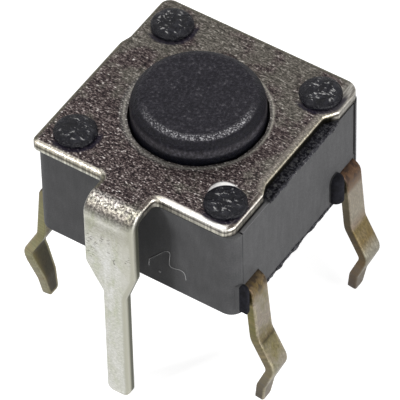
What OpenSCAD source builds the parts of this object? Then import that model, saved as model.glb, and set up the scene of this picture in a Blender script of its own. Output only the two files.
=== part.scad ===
// Tactile push button switch for a circuit board, with four signal terminals,
// a sheet metal cover riveted by moulded posts, and a ground terminal bent down from the cover.
// The origin is the centre of the housing's flat underside, where the board's surface comes.
// +Z points up through the button, and -Y points to the side with the ground terminal.
// All sizes are millimetres.

/* [Housing] */
// Width of the moulded housing along X
housing_w = 6.1; // [5.6:0.1:6.6]
// Depth of the moulded housing along Y
housing_d = 6; // [5.6:0.1:6.6]
// Height of the housing up to the seat of the cover
housing_h = 2.9; // [2.5:0.1:3.6]
// Radius of the housing's upright corners
housing_corner_r = 0.4; // [0.1:0.05:0.5]
// Thickness of the floor under the snap dome
floor_t = 1; // [0.8:0.05:1.2]
// Depth of the flat side panels behind the corners
side_panel_depth = 0.03; // [0.02:0.01:0.1]
// Width of the corner strip beside each side panel
corner_strip_w = 0.35; // [0.2:0.05:0.6]
// Width of the groove between a side panel and a corner strip
side_groove_w = 0.05; // [0.03:0.01:0.1]
// Depth of that groove from the housing's side
side_groove_depth = 0.1; // [0.05:0.01:0.15]

/* [Rivet posts] */
// Distance from a housing side to the centre of a rivet post
post_inset = 0.78; // [0.6:0.02:0.8]
// Radius of a rivet post below its head
post_r = 0.38; // [0.25:0.01:0.45]
// Radius of the flattened head of a rivet post
head_r = 0.55; // [0.5:0.01:0.6]
// Height of the flattened head above the cover
head_h = 0.14; // [0.08:0.01:0.25]
// Clearance between a post and its hole in the cover
post_clearance = 0.04; // [0.01:0.01:0.1]

/* [Cover] */
// Thickness of the cover's sheet metal
sheet_t = 0.3; // [0.2:0.05:0.4]
// Radius that the press rolled round the cover's upper edges
edge_roll = 0.09; // [0.03:0.01:0.18]
// Overhang of the cover past the housing on the left, at the back and in front left of the tab
cover_overhang = 0.05; // [0:0.01:0.15]
// Distance by which the front edge right of the tab stays behind the housing's front face
front_setback = 0.01; // [0:0.01:0.1]
// Distance by which the right edge behind the notch stays inside the housing's side
right_setback = 0.06; // [0:0.01:0.1]
// Further distance by which the right edge in front of the notch stays inside
front_land_setback = 0.1; // [0:0.01:0.15]
// Corner radius of the cover at the front right and the rear left
cover_corner_r = 0.3; // [0.1:0.05:0.5]
// Corner radius of the cover at the front left
cover_sharp_corner_r = 0.2; // [0.1:0.05:0.4]
// Corner radius of the cover at the rear right
cover_soft_corner_r = 0.4; // [0.3:0.05:0.8]
// Depth of the long notch in the cover's right edge
edge_notch_depth = 0.25; // [0.1:0.01:0.3]
// Distance from the cover's front edge to the mouth of the notch
notch_front_land = 1.59; // [1.2:0.01:1.8]
// Distance from the cover's back edge to the mouth of the notch
notch_back_land = 1.1; // [1:0.01:1.6]
// Slant of each end of the notch along the edge
edge_notch_slant = 0.36; // [0.3:0.01:0.6]
// Radius that rounds the mouth of the notch
notch_mouth_r = 0.06; // [0.05:0.01:0.35]
// Radius at the foot of the notch
notch_foot_r = 0.12; // [0.05:0.01:0.2]
// Depth of the step in the cover's left edge
edge_step_depth = 0.1; // [0.03:0.01:0.12]
// Distance from the cover's back edge to that step
step_back_land = 2; // [1.4:0.05:2.4]
// Length of the slope of that step
edge_step_run = 0.3; // [0.2:0.05:0.5]

/* [Ground terminal] */
// Width of the tab where it leaves the cover
tab_w = 1.5; // [1.2:0.05:1.8]
// Distance of the tab's middle from the centre line
tab_x = -0.1; // [-0.3:0.05:0.3]
// Distance of the pin's middle from the centre line
ground_pin_x = 0; // [-0.3:0.05:0.3]
// Width of the pin below its taper
ground_pin_w = 0.68; // [0.5:0.02:0.9]
// Length of the tab's flat run past the cover's edge
tab_run = 0.52; // [0.4:0.01:0.8]
// Inner radius of the tab's bend
tab_bend_r = 0.18; // [0.1:0.01:0.3]
// Height above the underside at which the taper starts
taper_top_z = 0.92; // [0.4:0.02:1.4]
// Height of the taper from the tab to the pin
taper_h = 0.88; // [0.5:0.02:1.2]
// Reach of the pin below the underside
ground_reach = 3.85; // [3:0.05:4.5]
// Radius that rounds the corners where the taper starts
taper_shoulder_r = 0.3; // [0.15:0.01:0.4]
// Radius in the corners where the taper ends
taper_foot_r = 0.2; // [0.1:0.01:0.3]
// Corner radius at the tip of the pin
ground_tip_r = 0.22; // [0.1:0.01:0.3]
// Fillet where the tab meets the cover
tab_fillet_r = 0.18; // [0.05:0.01:0.3]

/* [Plunger] */
// Radius of the button stem
stem_r = 1.75; // [1.4:0.05:1.85]
// Rise of the button's top above the cover
button_rise = 0.67; // [0.4:0.01:2]
// Radius of the round edge of the button's top
button_edge_r = 0.35; // [0.1:0.01:0.4]
// Clearance between the stem and the hole in the cover
stem_clearance = 0.07; // [0.03:0.01:0.1]
// Overlap of the plunger's flange under the cover
flange_overlap = 0.33; // [0.2:0.01:0.4]
// Thickness of the plunger's flange
flange_t = 0.45; // [0.3:0.05:0.6]
// Gap between the flange and the cover at rest
flange_gap = 0.03; // [0.02:0.01:0.05]
// Clearance between the flange and the wall of the housing's cavity
cavity_clearance = 0.2; // [0.1:0.01:0.25]
// Radius of the nub that presses the dome
nub_r = 0.8; // [0.5:0.05:1]
// Chamfer round the end of the nub
nub_chamfer = 0.15; // [0.05:0.01:0.3]
// Gap between the nub and the dome at rest
nub_gap = 0.02; // [0.01:0.01:0.05]

/* [Snap dome] */
// Radius of the dome at its rim
dome_r = 1.9; // [1.6:0.05:2]
// Rise of the dome's inner side above its rim
dome_rise = 0.33; // [0.25:0.01:0.4]
// Thickness of the dome's spring steel
dome_t = 0.06; // [0.04:0.01:0.1]
// Clearance between the dome and its seat in the floor
dome_clearance = 0.05; // [0.03:0.01:0.1]
// Depth of the dome's seat
dome_seat_h = 0.2; // [0.1:0.01:0.3]

/* [Signal terminals] */
// Thickness of the contact strips
strip_t = 0.25; // [0.15:0.01:0.3]
// Width of a terminal
terminal_w = 0.7; // [0.5:0.05:0.8]
// Distance from the housing's front or rear face to the middle of a row of terminals
row_inset = 0.75; // [0.6:0.01:0.9]
// Distance from the housing's side to the outer end of the root bend, at the strip's middle
terminal_standoff = 0.12; // [0.1:0.01:0.4]
// Radius of the bend beside the housing, at the strip's middle
root_bend_r = 0.2; // [0.16:0.01:0.25]
// Angle by which the upright run leans outwards
upright_angle = 5; // [0:1:8]
// Depth below the underside at which the kink starts
kink_start = 0.95; // [0.5:0.05:1.2]
// Radius of the bend that starts the kink
kink_start_r = 0.6; // [0.3:0.05:0.8]
// Angle by which the kink leans outwards
kink_out_angle = 27; // [10:1:35]
// Length of the leaning run
kink_out_len = 0.8; // [0.6:0.05:1.3]
// Radius of the knee at the kink's widest point
knee_r = 0.35; // [0.2:0.01:0.5]
// Angle by which the end leans inwards
kink_in_angle = 22; // [10:1:35]
// Length of the inward run
kink_in_len = 0.75; // [0.3:0.05:0.8]
// Radius of the bend that turns the tip down again
tip_bend_r = 0.5; // [0.3:0.05:0.8]
// Length of the nearly straight tip
tip_len = 0.6; // [0.4:0.05:0.8]
// Angle by which the tip still leans inwards
tip_angle = 9; // [0:1:20]
// Height of the taper at the end of a terminal
tip_taper_h = 1.3; // [0.8:0.05:1.4]
// Width of a terminal at its very tip
tip_w = 0.4; // [0.3:0.02:0.5]
// Corner radius at the tip of a terminal
tip_corner_r = 0.14; // [0.05:0.01:0.14]

/* [Contacts] */
// Width of the arms that carry the contact pads
arm_w = 0.6; // [0.4:0.05:0.8]
// Radius of the embossed contact pads
pad_r = 0.28; // [0.2:0.01:0.35]
// Height of the pads above the strip
pad_h = 0.1; // [0.05:0.01:0.15]
// Height of the centre contact above the floor
dot_h = 0.08; // [0.05:0.01:0.12]

/* [Moulding marks] */
// Radius of the half-round dam beside each terminal
dam_r = 0.22; // [0.2:0.01:0.4]
// Distance by which a dam stands proud of its side
dam_proud = 0.25; // [0.05:0.01:0.3]
// Height of a dam's round top above the underside
dam_top_z = 1.12; // [0.8:0.01:1.5]
// Height of a dam's flat lower end above the underside
dam_foot_z = 0.22; // [0:0.02:0.3]
// Distance by which a dam stays back from the front and rear faces
dam_setback = 0.12; // [0.05:0.01:0.2]
// Radius of the holes where the mould held the strips
support_hole_r = 0.3; // [0.15:0.01:0.33]
// Distance of those holes from the middle of the housing
support_hole_x = 1.2; // [0.8:0.1:1.8]
// Radius of the ejector marks on the underside
ejector_r = 0.45; // [0.2:0.05:0.6]
// Distance of the ejector marks from the middle of the housing
ejector_y = 1.2; // [0.8:0.1:1.6]
// Depth of the ejector marks
ejector_depth = 0.05; // [0.02:0.01:0.1]

/* [Hidden] */

// Largest turn between two points of a bend or a round corner
arc_step = 9;
// Number of flats across a rolled edge
roll_flats = 3;
$fn = 64;
// Least radius of a corner that an inset makes tighter
least_r = 0.01;
// Small reach of a cutting shape past the face that it opens
past = 0.1;

// Heights of the cover, the button and its flange
cover_top_z = housing_h + sheet_t;
button_top_z = cover_top_z + button_rise;
flange_top_z = housing_h - flange_gap;

// Height of the dome's crown, which carries the nub
dome_top_z = floor_t + dome_rise + dome_t;
dome_inner_r = (dome_r * dome_r + dome_rise * dome_rise) / (2 * dome_rise);
flange_r = stem_r + stem_clearance + flange_overlap;
cavity_r = flange_r + cavity_clearance;

// Places of the rivet posts, the terminal rows and the strips
post_x = housing_w / 2 - post_inset;
post_y = housing_d / 2 - post_inset;
row_y = housing_d / 2 - row_inset;
strip_mid_z = floor_t - pad_h - strip_t / 2;
terminal_x = housing_w / 2 + terminal_standoff;

// Sides of the cover
cover_x = housing_w / 2 + cover_overhang;
cover_y = housing_d / 2 + cover_overhang;
cover_right_x = housing_w / 2 - right_setback;
front_land_x = cover_right_x - front_land_setback;
front_right_y = front_setback - housing_d / 2;

// Middle of the tab's bend, and outer face of the ground terminal below it
bend_y = -(cover_y + tab_run);
bend_z = housing_h - tab_bend_r;
ground_face_y = bend_y - tab_bend_r - sheet_t;

// Unit vector, and the unit vector a quarter turn to its left
function unit(v) = v / norm(v);
function heading(a) = [cos(a), sin(a)];
function left_of(a) = [-sin(a), cos(a)];

// Number of steps that a turn is drawn with, the same for equal turns in spite of rounding
function steps_in(turn) = ceil(abs(turn) / arc_step - 0.01);

// Points that round the corner b of the outline a, b, c with radius r
function fillet(a, b, c, r) =
    r <= 0 ? [b] :
    let (
        u = unit(a - b),
        v = unit(c - b),
        half = acos(u * v) / 2,
        centre = b + unit(u + v) * r / sin(half),
        from = b + u * r / tan(half) - centre,
        to = b + v * r / tan(half) - centre,
        start = atan2(from.y, from.x),
        turn = atan2(from.x * to.y - from.y * to.x, from * to),
        n = steps_in(turn)
    )
    [for (k = [0:n]) centre + r * heading(start + turn * k / n)];

// Outline through corners given as [x, y, radius]
function rounded(corners) =
    let (n = len(corners), p = [for (c = corners) [c.x, c.y]])
    [for (i = [0:n - 1]) each fillet(p[(i + n - 1) % n], p[i], p[(i + 1) % n], corners[i][2])];

// Middle line of a bent strip, as [point, heading] pairs.
// Each step is [length of the straight run, turn after it, radius of that turn].
function walk(steps, p, a, i = 0) =
    i == len(steps) ? [] :
    let (
        turn = steps[i][1],
        r = steps[i][2],
        side = turn < 0 ? -1 : 1,
        q = p + steps[i][0] * heading(a),
        centre = q + side * r * left_of(a),
        n = steps_in(turn),
        arc = [for (k = [1:1:n])
            let (h = a + turn * k / n) [centre - side * r * left_of(h), h]],
        end = n == 0 ? q : arc[n - 1][0]
    )
    concat([[q, a]], arc, walk(steps, end, a + turn, i + 1));

// Outline of a strip of thickness t along such a middle line
function strip_outline(t, line) = concat(
    [for (s = line) s[0] + t / 2 * left_of(s[1])],
    [for (i = [len(line) - 1:-1:0]) line[i][0] - t / 2 * left_of(line[i][1])]
);

// Middle line of one signal terminal, from the strip's middle out to its tip
terminal_line = walk(
    [
        [0, 0, 0],
        [terminal_x - root_bend_r, upright_angle - 90, root_bend_r],
        [strip_mid_z - root_bend_r + kink_start, kink_out_angle - upright_angle, kink_start_r],
        [kink_out_len, -kink_out_angle - kink_in_angle, knee_r],
        [kink_in_len, kink_in_angle - tip_angle, tip_bend_r],
        [tip_len, 0, 0]
    ],
    [0, strip_mid_z], 0
);
terminal_tip_z = terminal_line[len(terminal_line) - 1][0].y;

// Corner list moved inwards by d, for corners in counter-clockwise order
function inset(corners, d) =
    let (n = len(corners), p = [for (c = corners) [c.x, c.y]])
    [for (i = [0:n - 1])
        let (
            u = unit(p[i] - p[(i + n - 1) % n]),
            v = unit(p[(i + 1) % n] - p[i]),
            m = [-u.y - v.y, u.x + v.x] / (1 + u * v),
            bulge = sign(u.x * v.y - u.y * v.x),
            r = corners[i][2]
        )
        [p[i].x + d * m.x, p[i].y + d * m.y, r > 0 ? max(least_r, r - d * bulge) : 0]];

// Section of the rolled edge, from the underside up, as [distance inwards, height]
roll_section = concat(
    [[0, 0]],
    [for (k = [0:roll_flats])
        let (a = 90 * k / roll_flats)
        [edge_roll * (1 - cos(a)), sheet_t - edge_roll * (1 - sin(a))]]
);

// Sheet with that corner list, lying on z = 0, whose upper edge is rolled.
// Both flat sides are fans of triangles about the point "middle", which sees the whole outline.
module rolled_sheet(corners, middle) {
    rings = [for (s = roll_section)
        [for (q = rounded(inset(corners, s[0]))) [q.x, q.y, s[1]]]];
    n = len(rings[0]);
    last = len(rings) - 1;
    low = (last + 1) * n;
    high = low + 1;
    polyhedron(
        points = concat(
            [for (ring = rings) each ring],
            [[middle.x, middle.y, 0], [middle.x, middle.y, sheet_t]]
        ),
        faces = concat(
            [for (i = [0:n - 1]) [i, (i + 1) % n, low]],
            [for (k = [0:last - 1], i = [0:n - 1])
                let (j = (i + 1) % n)
                [k * n + i, (k + 1) * n + i, (k + 1) * n + j, k * n + j]],
            [for (i = [0:n - 1]) [last * n + (i + 1) % n, last * n + i, high]]
        )
    );
}

// Stands a flat outline up in the XZ plane, with thickness w along Y about y
module upright_xz(w, y = 0) {
    translate([0, y, 0])
        rotate([90, 0, 0])
            linear_extrude(height = w, center = true)
                children();
}

// Stands a flat outline up in the YZ plane, with thickness w along X about x
module upright_yz(w, x = 0) {
    translate([x, 0, 0])
        rotate([90, 0, 90])
            linear_extrude(height = w, center = true)
                children();
}

// Repeats its child at the four rivet posts
module at_posts() {
    for (sx = [-1, 1], sy = [-1, 1])
        translate([sx * post_x, sy * post_y, 0])
            children();
}

module housing_block() {
    x = housing_w / 2;
    y = housing_d / 2;
    r = housing_corner_r;
    linear_extrude(height = housing_h)
        polygon(rounded([[x, y, r], [-x, y, r], [-x, -y, r], [x, -y, r]]));
}

// One rivet post with its flattened head
module post() {
    edge_h = head_h / 3;
    cap_h = head_h - edge_h;
    cap_sphere_r = (head_r * head_r + cap_h * cap_h) / (2 * cap_h);
    translate([0, 0, housing_h - past])
        cylinder(h = sheet_t + past, r = post_r);
    translate([0, 0, cover_top_z]) {
        cylinder(h = edge_h, r = head_r);
        intersection() {
            translate([0, 0, head_h - cap_sphere_r])
                sphere(r = cap_sphere_r);
            cylinder(h = head_h, r = head_r);
        }
    }
}

// Half-round dams that closed the mould against each terminal
module dams() {
    dam_x = housing_w / 2 + dam_proud - dam_r;
    intersection() {
        for (turn = [0, 180], y = [-row_y, row_y])
            rotate([0, 0, turn])
                translate([dam_x, y - terminal_w / 2 - dam_r, 0]) {
                    translate([0, 0, dam_foot_z])
                        cylinder(h = dam_top_z - dam_r - dam_foot_z, r = dam_r);
                    translate([0, 0, dam_top_z - dam_r])
                        sphere(r = dam_r);
                }
        translate([0, 0, housing_h / 2])
            cube([2 * housing_w, housing_d - 2 * dam_setback, housing_h], center = true);
    }
}

module housing() {
    panel_w = housing_d - 2 * corner_strip_w;
    groove_y = (panel_w - side_groove_w) / 2;
    color([0.2, 0.2, 0.21])
        difference() {
            union() {
                difference() {
                    housing_block();
                    for (side = [-1, 1])
                        translate([side * housing_w / 2, 0, housing_h / 2])
                            cube([2 * side_panel_depth, panel_w, housing_h + 2 * past], center = true);
                    for (sx = [-1, 1], sy = [-1, 1])
                        translate([sx * housing_w / 2, sy * groove_y, floor_t + housing_h / 2])
                            cube([2 * side_groove_depth, side_groove_w, housing_h], center = true);
                }
                dams();
                at_posts() post();
            }
            translate([0, 0, floor_t])
                cylinder(h = housing_h, r = dome_r + dome_clearance);
            translate([0, 0, floor_t + dome_seat_h])
                cylinder(h = housing_h, r = cavity_r);
            for (sx = [-1, 1], sy = [-1, 1])
                translate([sx * support_hole_x, sy * row_y, -past])
                    cylinder(h = strip_mid_z + past, r = support_hole_r);
            for (sy = [-1, 1])
                translate([0, sy * ejector_y, -past])
                    cylinder(h = ejector_depth + past, r = ejector_r);
            common_strip_solid();
            centre_strip_solid();
        }
}

// Flat outline of the cover. Its ground tab runs on past the start of the bend, where it is cut off.
function cover_corners() =
    let (
        notch_x = cover_right_x - edge_notch_depth,
        notch_a = notch_front_land - cover_y,
        notch_b = cover_y - notch_back_land,
        step_x = edge_step_depth - cover_x,
        step_y = cover_y - step_back_land,
        tab_l = tab_x - tab_w / 2,
        tab_r = tab_x + tab_w / 2,
        tab_end = bend_y - 2 * edge_roll
    )
    [
        [front_land_x, front_right_y, cover_corner_r],
        [front_land_x, notch_a, notch_mouth_r],
        [notch_x, notch_a + edge_notch_slant, notch_foot_r],
        [notch_x, notch_b - edge_notch_slant, notch_foot_r],
        [cover_right_x, notch_b, notch_mouth_r],
        [cover_right_x, cover_y, cover_soft_corner_r],
        [step_x, cover_y, cover_corner_r],
        [step_x, step_y + edge_step_run, edge_step_run],
        [-cover_x, step_y, edge_step_run],
        [-cover_x, -cover_y, cover_sharp_corner_r],
        [tab_l, -cover_y, tab_fillet_r],
        [tab_l, tab_end, 0],
        [tab_r, tab_end, 0],
        [tab_r, front_right_y, tab_fillet_r]
    ];

// Front view of the ground terminal below its bend: tab, taper and pin with a rounded tip.
// It runs on past the end of the bend, where it is cut off.
function ground_corners() =
    let (
        top = bend_z + 2 * edge_roll,
        tip = -ground_reach,
        taper_end = taper_top_z - taper_h,
        tab_l = tab_x - tab_w / 2,
        tab_r = tab_x + tab_w / 2,
        pin_l = ground_pin_x - ground_pin_w / 2,
        pin_r = ground_pin_x + ground_pin_w / 2
    )
    [
        [tab_l, top, 0],
        [tab_l, taper_top_z, taper_shoulder_r],
        [pin_l, taper_end, taper_foot_r],
        [pin_l, tip, ground_tip_r],
        [pin_r, tip, ground_tip_r],
        [pin_r, taper_end, taper_foot_r],
        [tab_r, taper_top_z, taper_shoulder_r],
        [tab_r, top, 0]
    ];

// Cover and the flat run of its tab
module flat_sheet() {
    intersection() {
        translate([0, 0, housing_h])
            rolled_sheet(cover_corners(), [0, 0]);
        translate([-housing_w, bend_y, housing_h - past])
            cube([2 * housing_w, 2 * housing_d, sheet_t + 2 * past]);
    }
}

// Quarter turn of the tab, with the same rolled edges
module tab_bend() {
    section = [for (s = roll_section) [tab_bend_r + s[1], tab_w / 2 - s[0]]];
    last = len(section) - 1;
    translate([tab_x, bend_y, bend_z])
        rotate([90, 0, 90])
            rotate([0, 0, 90])
                rotate_extrude(angle = 90)
                    polygon(concat(
                        [for (i = [0:last]) [section[i].x, -section[i].y]],
                        [for (i = [last:-1:0]) section[i]]
                    ));
}

// Tab, taper and pin below the bend
module ground_blade() {
    intersection() {
        translate([0, ground_face_y + sheet_t, 0])
            rotate([90, 0, 0])
                rolled_sheet(ground_corners(), [ground_pin_x, taper_top_z - taper_h]);
        translate([-housing_w, 2 * ground_face_y, bend_z - 3 * housing_h - ground_reach])
            cube([2 * housing_w, 2 * housing_d, 3 * housing_h + ground_reach]);
    }
}

// Hole of the button stem, with its upper edge rolled like the outer edges
module stem_hole() {
    r = stem_r + stem_clearance;
    top = [for (s = roll_section) [r + s[0], s[1]]];
    rotate_extrude()
        polygon(concat(
            [[0, -past], [r, -past]],
            [for (i = [1:len(top) - 1]) top[i]],
            [[r + edge_roll, sheet_t + past], [0, sheet_t + past]]
        ));
}

module cover_plate() {
    color([0.7, 0.68, 0.64])
        difference() {
            union() {
                flat_sheet();
                tab_bend();
                ground_blade();
            }
            translate([0, 0, housing_h])
                stem_hole();
            at_posts()
                translate([0, 0, housing_h - past])
                    cylinder(h = sheet_t + 2 * past, r = post_r + post_clearance);
        }
}

module plunger() {
    nub_bottom_z = dome_top_z + nub_gap;
    flange_bottom_z = flange_top_z - flange_t;
    color([0.17, 0.17, 0.18])
        rotate_extrude()
            polygon(concat(
                [
                    [0, nub_bottom_z],
                    [nub_r - nub_chamfer, nub_bottom_z],
                    [nub_r, nub_bottom_z + nub_chamfer],
                    [nub_r, flange_bottom_z],
                    [flange_r, flange_bottom_z],
                    [flange_r, flange_top_z],
                    [stem_r, flange_top_z]
                ],
                fillet(
                    [stem_r, flange_top_z], [stem_r, button_top_z], [0, button_top_z],
                    button_edge_r
                ),
                [[0, button_top_z]]
            ));
}

// Thin spherical cap whose rim stands on the floor and the side pads
module snap_dome() {
    centre_z = floor_t + dome_rise - dome_inner_r;
    color([0.75, 0.76, 0.78])
        intersection() {
            difference() {
                translate([0, 0, centre_z])
                    sphere(r = dome_inner_r + dome_t);
                translate([0, 0, centre_z])
                    sphere(r = dome_inner_r);
            }
            translate([0, 0, floor_t])
                cylinder(h = dome_rise + 2 * dome_t, r = dome_r);
        }
}

// One side of a strip: half of its bar and the terminal at its end
module terminal_half() {
    taper_z = terminal_tip_z + tip_taper_h;
    intersection() {
        upright_xz(terminal_w)
            polygon(strip_outline(strip_t, terminal_line));
        upright_yz(2 * housing_w, housing_w)
            polygon(rounded([
                [-terminal_w / 2, floor_t, 0],
                [-terminal_w / 2, taper_z, 0],
                [-tip_w / 2, terminal_tip_z, tip_corner_r],
                [tip_w / 2, terminal_tip_z, tip_corner_r],
                [terminal_w / 2, taper_z, 0],
                [terminal_w / 2, floor_t, 0]
            ]));
    }
}

// Bar along one row, with a terminal at each end
module strip_bar() {
    terminal_half();
    mirror([1, 0, 0])
        terminal_half();
}

// Flat arm between two points, at the strip's own level
module arm(x, from_y, to_y) {
    low_y = min(from_y, to_y);
    translate([x - arm_w / 2, low_y, strip_mid_z - strip_t / 2])
        cube([arm_w, abs(to_y - from_y), strip_t]);
}

// Strip of the back row, with two side pads under the dome's rim
module common_strip_solid() {
    pad_x = dome_r - pad_r / 2;
    translate([0, row_y, 0])
        strip_bar();
    for (side = [-1, 1]) {
        arm(side * pad_x, -arm_w / 2, row_y);
        translate([side * pad_x, 0, strip_mid_z])
            cylinder(h = floor_t - strip_mid_z, r = pad_r);
    }
}

// Strip of the front row, with the centre contact under the dome's crown
module centre_strip_solid() {
    translate([0, -row_y, 0])
        strip_bar();
    arm(0, -row_y, arm_w / 2);
    translate([0, 0, strip_mid_z])
        cylinder(h = floor_t + dot_h - strip_mid_z, r = pad_r);
}

module common_contact_strip() {
    color([0.62, 0.57, 0.46])
        common_strip_solid();
}

module centre_contact_strip() {
    color([0.62, 0.57, 0.46])
        centre_strip_solid();
}

housing();
cover_plate();
plunger();
snap_dome();
common_contact_strip();
centre_contact_strip();
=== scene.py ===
from contextlib import contextmanager
import math

import bmesh
import bpy
from mathutils import Matrix, Vector
from mathutils.geometry import delaunay_2d_cdt
from mathutils.kdtree import KDTree


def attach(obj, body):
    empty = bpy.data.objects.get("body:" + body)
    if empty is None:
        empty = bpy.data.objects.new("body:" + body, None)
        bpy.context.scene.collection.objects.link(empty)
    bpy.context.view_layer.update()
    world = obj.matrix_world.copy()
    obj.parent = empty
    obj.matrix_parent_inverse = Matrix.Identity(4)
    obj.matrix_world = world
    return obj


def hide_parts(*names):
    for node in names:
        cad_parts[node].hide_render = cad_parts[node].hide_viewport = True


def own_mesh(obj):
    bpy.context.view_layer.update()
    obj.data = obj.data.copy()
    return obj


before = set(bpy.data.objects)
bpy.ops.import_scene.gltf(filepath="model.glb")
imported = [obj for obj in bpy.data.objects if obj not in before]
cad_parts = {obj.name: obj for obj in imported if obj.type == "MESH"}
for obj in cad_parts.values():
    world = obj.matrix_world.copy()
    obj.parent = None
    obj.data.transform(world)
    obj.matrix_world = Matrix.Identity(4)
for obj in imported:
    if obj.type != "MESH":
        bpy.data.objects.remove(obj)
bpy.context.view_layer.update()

# Sizes in millimetres, the same as in the part's source.
MM = 0.001
HOUSING_W = 6.1
HOUSING_D = 6.0
HOUSING_H = 2.9
CORNER_STRIP_W = 0.35
FLOOR_T = 1.0
POST_INSET = 0.78
POST_HOLE_R = 0.42
HEAD_R = 0.55
HEAD_H = 0.14
HEAD_LUMP_H = 0.035
HEAD_LUMPS_PER_M = 2600.0
MELT = 0.02

SHEET_T = 0.3
EDGE_ROLL = 0.09
UNDER_ROLL = 0.02
COVER_X = 3.1
COVER_Y = 3.05
COVER_RIGHT_X = 2.99
FRONT_LAND_X = 2.89
FRONT_RIGHT_Y = -2.99
CORNER_R = 0.3
SHARP_CORNER_R = 0.2
SOFT_CORNER_R = 0.4
NOTCH_DEPTH = 0.25
NOTCH_FRONT_LAND = 1.59
NOTCH_BACK_LAND = 1.1
NOTCH_SLANT = 0.36
NOTCH_MOUTH_R = 0.06
NOTCH_FOOT_R = 0.12
STEP_DEPTH = 0.1
STEP_BACK_LAND = 2.0
STEP_RUN = 0.3
STEM_HOLE_R = 1.82

TAB_W = 1.5
TAB_X = -0.1
TAB_FILLET_R = 0.18
TAB_RUN = 0.52
TAB_BEND_R = 0.18
PIN_W = 0.68
TAPER_TOP_Z = 0.92
TAPER_H = 0.88
SHOULDER_R = 0.3
FOOT_R = 0.2
TIP_R = 0.22
GROUND_REACH = 3.85

STEM_R = 1.75
BUTTON_TOP_Z = 3.87
BUTTON_EDGE_R = 0.35
FLANGE_R = 2.15
FLANGE_TOP_Z = 2.87
FLANGE_T = 0.45
NUB_R = 0.8
NUB_CHAMFER = 0.15
NUB_Z = 1.41

DOME_R = 1.9
DOME_RISE = 0.33
DOME_T = 0.06

STRIP_T = 0.25
STRIP_ROLL = 0.05
STRIP_MID_Z = 0.775
TERMINAL_W = 0.7
ROW_Y = 2.25
ROOT_END_X = 3.17
ARM_W = 0.6
ARM_R = 0.08
PAD_R = 0.28
PAD_TOP_Z = 1.0
DOT_TOP_Z = 1.08
SIDE_PAD_X = 1.76

# Bends of each sheet's middle line: length of the straight run, turn after it and its radius.
TAB_BENDS = [
    (COVER_Y + TAB_RUN, -90, TAB_BEND_R + SHEET_T / 2),
]
TERMINAL_BENDS = [
    (ROOT_END_X - 0.2, -85, 0.2),
    (STRIP_MID_Z - 0.2 + 0.95, 22, 0.6),
    (0.8, -49, 0.35),
    (0.75, 13, 0.5),
]
TERMINAL_END = 0.6
CREASE_AT = 5.1
TIP_W = 0.4
TIP_TAPER_L = 1.34
TERMINAL_TIP_R = 0.12

# Small rounded edges, beads of resin and lint
PART_EDGE_R = 0.04
BEAD_R = 0.045
BEAD_LUMP_H = 0.075
FIBRE_R = 0.008

# Fineness of the meshes: spacing on the sheets, degrees from point to point round a corner,
# and the angle in degrees from which an edge is sharp
COVER_SPACING = 0.085
STRIP_SPACING = 0.07
CORNER_STEP = 9
SHARP_FROM = 40

# Places that several pieces share
SIDE_X = HOUSING_W / 2
POST_X = SIDE_X - POST_INSET
POST_Y = HOUSING_D / 2 - POST_INSET
POSTS = [(side * POST_X, end * POST_Y) for side in (-1, 1) for end in (-1, 1)]
NOTCH_FRONT_Y = NOTCH_FRONT_LAND - COVER_Y
NOTCH_BACK_Y = COVER_Y - NOTCH_BACK_LAND


def rgb(red, green, blue):
    """Linear colour from the screen's 0 to 255 values"""
    def linear(value):
        value /= 255
        return value / 12.92 if value <= 0.04045 else ((value + 0.055) / 1.055) ** 2.4
    return (linear(red), linear(green), linear(blue), 1.0)


# Outlines, as corner lists of (x, y, radius) in counter-clockwise order

def heading(angle):
    return Vector((math.cos(angle), math.sin(angle)))


def left_of(angle):
    return Vector((-math.sin(angle), math.cos(angle)))


def fillet(before, corner, after, radius):
    """Points that round a corner"""
    if radius <= 0:
        return [corner]
    u = (before - corner).normalized()
    v = (after - corner).normalized()
    half = math.acos(max(-1, min(1, u.dot(v)))) / 2
    centre = corner + (u + v).normalized() * radius / math.sin(half)
    start = corner + u * radius / math.tan(half) - centre
    end = corner + v * radius / math.tan(half) - centre
    first = math.atan2(start.y, start.x)
    turn = math.atan2(start.x * end.y - start.y * end.x, start.dot(end))
    count = math.ceil(abs(math.degrees(turn)) / CORNER_STEP - 0.01)
    return [centre + radius * heading(first + turn * k / count) for k in range(count + 1)]


def rounded(corners):
    points = [Vector(c[:2]) for c in corners]
    outline = []
    for i, corner in enumerate(corners):
        after = points[(i + 1) % len(points)]
        outline += fillet(points[i - 1], points[i], after, corner[2])
    return outline


def inset(corners, distance):
    """Corner list moved inwards by a distance"""
    points = [Vector(c[:2]) for c in corners]
    moved = []
    for i, corner in enumerate(corners):
        u = (points[i] - points[i - 1]).normalized()
        v = (points[(i + 1) % len(points)] - points[i]).normalized()
        offset = Vector((-u.y - v.y, u.x + v.x)) / (1 + u.dot(v))
        bulge = math.copysign(1, u.x * v.y - u.y * v.x)
        radius = max(0.01, corner[2] - distance * bulge) if corner[2] > 0 else 0
        moved.append((*(points[i] + distance * offset), radius))
    return moved


def circle(x, y, radius, count):
    return [Vector((x, y)) + radius * heading(math.tau * k / count) for k in range(count)]


def inside(point, outline):
    found = False
    for i, a in enumerate(outline):
        b = outline[i - 1]
        if (a.y > point.y) != (b.y > point.y):
            if point.x < (b.x - a.x) * (point.y - a.y) / (b.y - a.y) + a.x:
                found = not found
    return found


# Bent sheet metal

def follow(bends, distance):
    """Point and angle at a distance along straight runs and round bends"""
    point = Vector((0, 0))
    angle = 0.0
    for run, turn, radius in bends:
        turn = math.radians(turn)
        if distance <= run:
            break
        point += heading(angle) * run
        distance -= run
        side = math.copysign(1, turn)
        centre = point + side * radius * left_of(angle)
        part = math.copysign(min(abs(turn), distance / radius), turn)
        angle += part
        point = centre - side * radius * left_of(angle)
        distance -= abs(part) * radius
        if distance <= 0:
            return point, angle
    return point + heading(angle) * distance, angle


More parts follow.
